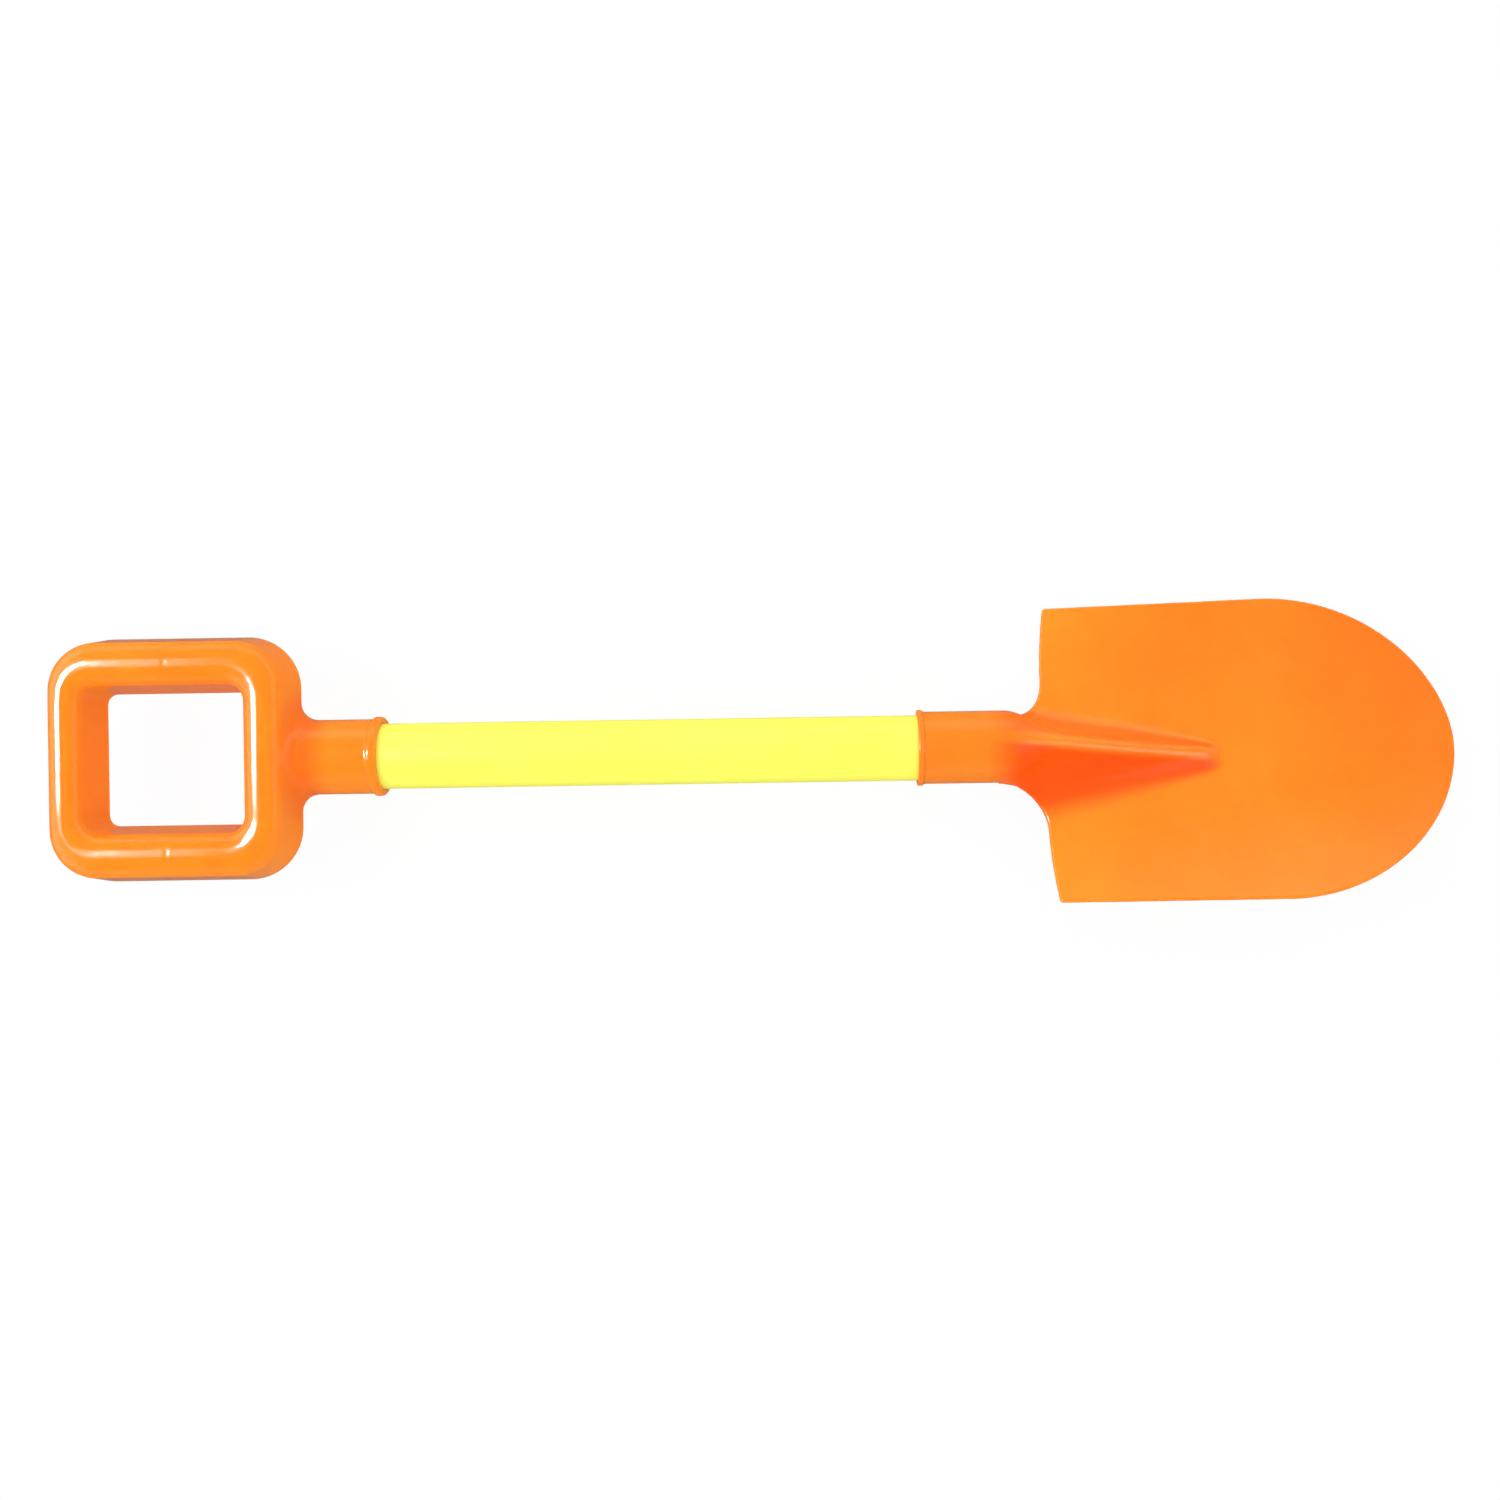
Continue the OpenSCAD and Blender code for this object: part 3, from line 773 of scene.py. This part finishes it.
# its last colour is the painted shade's colour, darker and redder than the plastic
def grip_plastic():
    return plastic(
        "grip plastic", dark=(1.0, 0.255, 0.013), light=(1.0, 0.28, 0.016), roughness=0.11,
        scatter=ORANGE_SCATTER, wave=MOULDED_WAVE, deep=(1.0, 0.105, 0.008))


# its last colour is the painted shade's colour, darker and redder than the plastic
def blade_plastic():
    # the blade is the same orange plastic as the grip; its base colour is a little lighter, painted light
    # for the weaker light that reaches the blade
    return plastic(
        "blade plastic", dark=(1.0, 0.295, 0.015), light=(1.0, 0.325, 0.019), roughness=0.2,
        scatter=ORANGE_SCATTER, wave=MOULDED_WAVE, deep=(1.0, 0.072, 0.004))


def tube_plastic():
    return plastic(
        "tube plastic", dark=(1.0, 0.95, 0.09), light=(1.0, 0.97, 0.11), roughness=0.3,
        scatter=YELLOW_SCATTER, wave=DRAWN_WAVE, streaks=DRAWING_LINES)


# Pieces

def search_space(low, high, margin):
    """Corners of the space in which a piece's surface is looked for."""
    return np.array(low) - margin, np.array(high) + margin


grip_low, grip_high = search_space(
    (LOOP_X0, -LOOP_W / 2, -GRIP_BEAD_R), (GRIP_MOUTH_X, LOOP_W / 2, LOOP_H), GRIP_MARGIN)
grip = field_mesh("grip_moulding", grip_field, grip_painted_shade, grip_low, grip_high)
grip.data.materials.append(grip_plastic())
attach(grip, "shovel")
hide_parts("grip")

blade_low, blade_high = search_space(
    (BLADE_MOUTH_X, -BLADE_W / 2, -BLADE_BEAD_R), (TIP_X, BLADE_W / 2, BLADE_BEAD_R), BLADE_MARGIN)
blade = field_mesh("blade_moulding", blade_field, blade_painted_shade, blade_low, blade_high, -BLADE_TURN)
blade.data.materials.append(blade_plastic())
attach(blade, "shovel")
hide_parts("blade")

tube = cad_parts["shaft_tube"]
tube.data.materials.clear()
tube.data.materials.append(tube_plastic())


# Floor, in metres

FLOOR_HALF = 3.0
FLOOR_X = 0.2
FLOOR_GAP = 0.0005
PAPER = (0.85, 0.85, 0.85, 1)
# the paper's own light: full for the camera, and this part of it in reflections
GLOSS_GLOW = 0.15
# share of that light in what is seen, so that the rest still takes the object's shadow
GLOW_SHARE = 0.95

floor_mesh = bpy.data.meshes.new("floor")
floor_corners = [(-1, -1), (1, -1), (1, 1), (-1, 1)]
floor_mesh.from_pydata([(x * FLOOR_HALF, y * FLOOR_HALF, 0) for x, y in floor_corners], [], [(0, 1, 2, 3)])
floor = bpy.data.objects.new("floor", floor_mesh)
lowest = min(cad_box[0][2], cad_box[1][2])
floor.location = (FLOOR_X, 0, lowest - FLOOR_GAP)
bpy.context.scene.collection.objects.link(floor)


def floor_paper():
    """Paper that looks white to the camera under most light, with a faint shadow on it."""
    mat = bpy.data.materials.new("floor white")
    tree = empty_tree(mat)
    paper = node(tree, "ShaderNodeBsdfDiffuse", Color=PAPER)
    glow = node(tree, "ShaderNodeEmission")
    ray = node(tree, "ShaderNodeLightPath").outputs
    direct = calculate(tree, "MAXIMUM", ray["Is Camera Ray"], ray["Is Transmission Ray"])
    strength = map_range(tree, direct, (0.0, 1.0), (GLOSS_GLOW, 1.0))
    tree.links.new(strength, glow.inputs["Strength"])
    seen = calculate(tree, "MAXIMUM", direct, ray["Is Glossy Ray"])
    share = calculate(tree, "MULTIPLY", seen, GLOW_SHARE)
    surface = mix_shaders(tree, share, paper.outputs["BSDF"], glow.outputs["Emission"])
    out = node(tree, "ShaderNodeOutputMaterial")
    tree.links.new(surface, out.inputs["Surface"])
    return mat


floor_mesh.materials.append(floor_paper())


# World: white to the camera, even for matt surfaces, and shaped by direction in reflections

LOW_LIGHT, HIGH_LIGHT, LEFT_LIGHT, EVEN_LIGHT = 1.1, 0.08, 1.2, 1.45
# ranges of a direction's parts over which the light changes
UP_RANGE = (0.3, 0.65)
LEFT_RANGE = (0.4, 0.9)
# the low light is weaker from the side of the blade's lower edge, at -Y
SIDE_RANGE = (-0.4, 0.2)
SIDE_LEVELS = (0.4, 1.0)


def make_world():
    world = bpy.data.worlds.new("studio")
    bpy.context.scene.world = world
    tree = empty_tree(world)
    split = node(tree, "ShaderNodeSeparateXYZ")
    place = node(tree, "ShaderNodeTexCoord")
    tree.links.new(place.outputs["Generated"], split.inputs["Vector"])
    upward = map_range(tree, split.outputs["Z"], UP_RANGE, (LOW_LIGHT, HIGH_LIGHT), "SMOOTHSTEP")
    weaker = map_range(tree, split.outputs["Y"], SIDE_RANGE, SIDE_LEVELS)
    leftward = calculate(tree, "MULTIPLY", split.outputs["X"], -1.0)
    from_left = map_range(tree, leftward, LEFT_RANGE, (0.0, LEFT_LIGHT), "SMOOTHSTEP")
    shaped = calculate(tree, "ADD", calculate(tree, "MULTIPLY", upward, weaker), from_left)
    ray = node(tree, "ShaderNodeLightPath").outputs
    strength = node(tree, "ShaderNodeMix", data_type="FLOAT")
    strength.inputs["B"].default_value = EVEN_LIGHT
    tree.links.new(ray["Is Diffuse Ray"], strength.inputs["Factor"])
    tree.links.new(shaped, strength.inputs["A"])
    light = node(tree, "ShaderNodeBackground")
    tree.links.new(strength.outputs["Result"], light.inputs["Strength"])
    white = node(tree, "ShaderNodeBackground", Color=(1.0, 1.0, 1.0, 1.0))
    surface = mix_shaders(tree, ray["Is Camera Ray"], light.outputs["Background"],
                          white.outputs["Background"])
    out = node(tree, "ShaderNodeOutputWorld")
    tree.links.new(surface, out.inputs["Surface"])


make_world()


# Lamps, in metres and watts

GRIP_AIM = (0.05, 0.0, 0.0)
BLADE_AIM = (0.31, 0.0, 0.0)
TOP_AIM = (0.3, 0.0, 0.0)
LEFT_SPOT = (-0.30, 0.065, 0.49)


def area_light(name, spot, aim, size, power, glossy=True, diffuse=True):
    """Rectangular lamp that looks at aim, left out of reflections or of diffuse light on request."""
    light = bpy.data.lights.new(name, "AREA")
    light.shape = "RECTANGLE"
    light.size, light.size_y = size
    light.energy = power
    obj = bpy.data.objects.new(name, light)
    obj.visible_glossy = glossy
    obj.visible_diffuse = diffuse
    bpy.context.scene.collection.objects.link(obj)
    back = np.array(spot, float) - np.array(aim, float)
    back /= np.linalg.norm(back)
    side = np.cross([0, 1, 0], back)
    side /= np.linalg.norm(side)
    up = np.cross(back, side)
    rows = [[side[k], up[k], back[k], spot[k]] for k in range(3)]
    obj.matrix_world = Matrix(rows + [[0, 0, 0, 1]])
    return obj


area_light("window", spot=(-0.34, 0.065, 0.46), aim=GRIP_AIM, size=(0.24, 0.16), power=10.0,
           diffuse=False)
area_light("window's glow", spot=LEFT_SPOT, aim=GRIP_AIM, size=(0.3, 0.3), power=0.85,
           diffuse=False)
area_light("left", spot=LEFT_SPOT, aim=GRIP_AIM, size=(0.2, 0.14), power=1.2, glossy=False)
area_light("top", spot=(-0.2, 1.5, 1.4), aim=TOP_AIM, size=(1.2, 1.2), power=5.0, glossy=False)
# a reflection on the blade alone, along the crest of its ridge
strip = area_light("strip", spot=(0.91, -0.1, 0.79), aim=BLADE_AIM, size=(0.3, 0.7), power=1.7,
                   diffuse=False)
on_blade = bpy.data.collections.new("strip shines on")
on_blade.objects.link(blade)
strip.light_linking.receiver_collection = on_blade


# Camera

CAMERA_X, CAMERA_Y = 224.8, -1.7
CAMERA_DISTANCE = 489.6
CAMERA_ROLL = math.radians(-0.9)
LENS, SENSOR = 38.4, 36.0
SHIFT_X, SHIFT_Y = -0.048, 0.0033
CLIP_START = 10.0

camera_data = bpy.data.cameras.new("camera")
camera_data.sensor_width = SENSOR
camera_data.lens = LENS
camera_data.shift_x = SHIFT_X
camera_data.shift_y = SHIFT_Y
camera_data.clip_start = CLIP_START * MM
camera = bpy.data.objects.new("camera", camera_data)
camera.location = (CAMERA_X * MM, CAMERA_Y * MM, CAMERA_DISTANCE * MM)
camera.rotation_euler = (0, 0, CAMERA_ROLL)
bpy.context.scene.collection.objects.link(camera)
bpy.context.scene.camera = camera
bpy.context.scene.view_settings.view_transform = "Standard"
